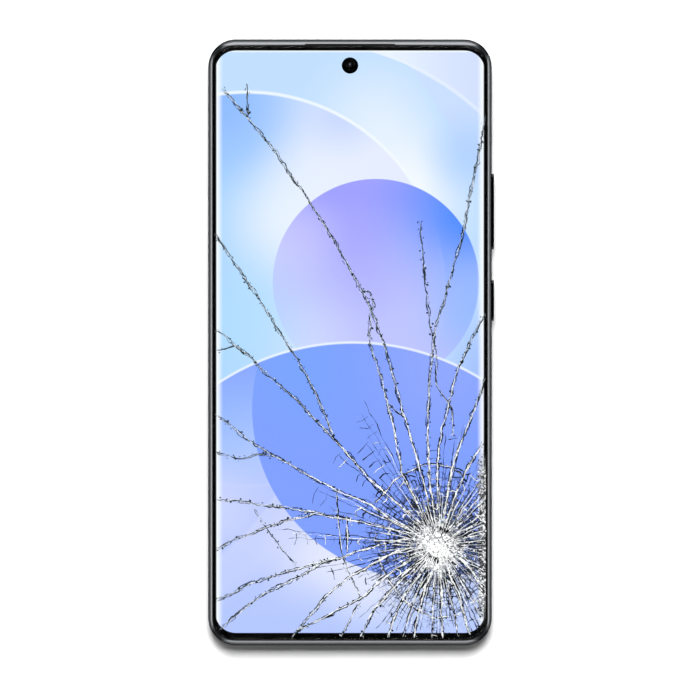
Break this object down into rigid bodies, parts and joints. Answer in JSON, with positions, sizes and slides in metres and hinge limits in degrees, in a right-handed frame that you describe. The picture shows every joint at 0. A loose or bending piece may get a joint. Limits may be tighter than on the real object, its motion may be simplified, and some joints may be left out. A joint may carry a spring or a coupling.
{
  "type": "smartphone with a shattered screen",
  "caption": "Slab smartphone lying on its back, its curved-edge cover glass shattered from an impact near the lower right corner, screen lit.",
  "frame": {"origin": "middle of the phone's footprint, on the plane of the camera rings that it rests on", "axes": "+Z out of the screen, +Y towards the top edge, +X towards the keys"},
  "size_m": [0.0764, 0.162, 0.0104],
  "materials": {
    "screen_glass": "gloss",
    "screen": "gloss",
    "black_gasket": "matte",
    "graphite": "satin",
    "sensor_black": "gloss",
    "flex_amber": "satin",
    "frame_metal": "satin",
    "mesh_black": "matte",
    "speaker_plastic": "matte",
    "gold_contact": "satin",
    "board_green": "satin",
    "chip_black": "matte",
    "tinned_steel": "satin",
    "bracket_black": "matte",
    "copper": "satin",
    "screw_steel": "satin",
    "camera_body": "satin",
    "flash_phosphor": "gloss",
    "flash_lens": "gloss",
    "trim_metal": "satin",
    "ring_metal": "polished",
    "lens_glass": "gloss",
    "rear_glass": "satin",
    "battery_wrap": "satin",
    "adhesive_white": "matte",
    "tungsten": "matte",
    "cable_black": "matte"
  },
  "bodies": {
    "phone": {"cover_glass": "screen_glass", "display_panel": "screen", "display_adhesive": "black_gasket", "graphite_sheet": "graphite", "fingerprint_sensor": "sensor_black", "display_flex": "flex_amber", "mid_frame": "frame_metal", "earpiece_mesh": "mesh_black", "front_camera": "sensor_black", "earpiece_speaker": "speaker_plastic", "ambient_sensor": "sensor_black", "microphones": "gold_contact", "main_board": "board_green", "board_chips": "chip_black", "shield_cans": "tinned_steel", "board_connectors": "chip_black", "upper_bracket": "bracket_black", "nfc_coil": "copper", "screws": "screw_steel", "main_camera": "camera_body", "wide_camera": "camera_body", "macro_camera": "camera_body", "camera_flexes": "flex_amber", "flash_led": "flash_phosphor", "flash_window": "flash_lens", "camera_trim": "trim_metal", "lens_rings": "ring_metal", "lens_covers": "lens_glass", "rear_cover": "rear_glass", "rear_adhesive": "black_gasket", "battery": "battery_wrap", "battery_adhesive": "adhesive_white", "battery_flex": "flex_amber", "sub_board": "board_green", "usb_c_port": "tinned_steel", "sim_reader": "tinned_steel", "eject_lever": "tinned_steel", "loudspeaker": "speaker_plastic", "speaker_mesh": "mesh_black", "lower_bracket": "bracket_black", "vibration_motor": "tinned_steel", "main_flex": "flex_amber", "coax_cable": "cable_black", "side_key_flex": "flex_amber", "dome_switches": "gold_contact", "key_bracket": "tinned_steel"},
    "power_key": {"power_button": "frame_metal", "power_key_clip": "tinned_steel"},
    "volume_key": {"volume_rocker": "frame_metal", "volume_key_clips": "tinned_steel"},
    "card_tray": {"sim_tray": "frame_metal", "sim_tray_seal": "black_gasket"},
    "focus_lens": {"focus_barrel": "sensor_black"},
    "haptic_weight": {"haptic_mass": "tungsten"}
  },
  "joints": [
    {"name": "power_press", "type": "slide", "parent": "phone", "child": "power_key", "axis": [-1, 0, 0], "range_m": [0, 0.00025], "stiffness_N_per_m": 4000},
    {"name": "volume_rock", "type": "hinge", "parent": "phone", "child": "volume_key", "pos_m": [0.03685, 0.035, 0.00596], "axis": [0, 0, 1], "range_deg": [-1.6, 1.6], "stiffness_Nm_per_rad": 0.5},
    {"name": "tray_slide", "type": "slide", "parent": "phone", "child": "card_tray", "axis": [0, -1, 0], "range_m": [0, 0.0195]},
    {"name": "focus_slide", "type": "slide", "parent": "phone", "child": "focus_lens", "axis": [0, 0, -1], "range_m": [0, 0.00035], "stiffness_N_per_m": 500},
    {"name": "haptic_slide", "type": "slide", "parent": "phone", "child": "haptic_weight", "axis": [1, 0, 0], "range_m": [-0.0003, 0.0003], "stiffness_N_per_m": 1000}
  ]
}
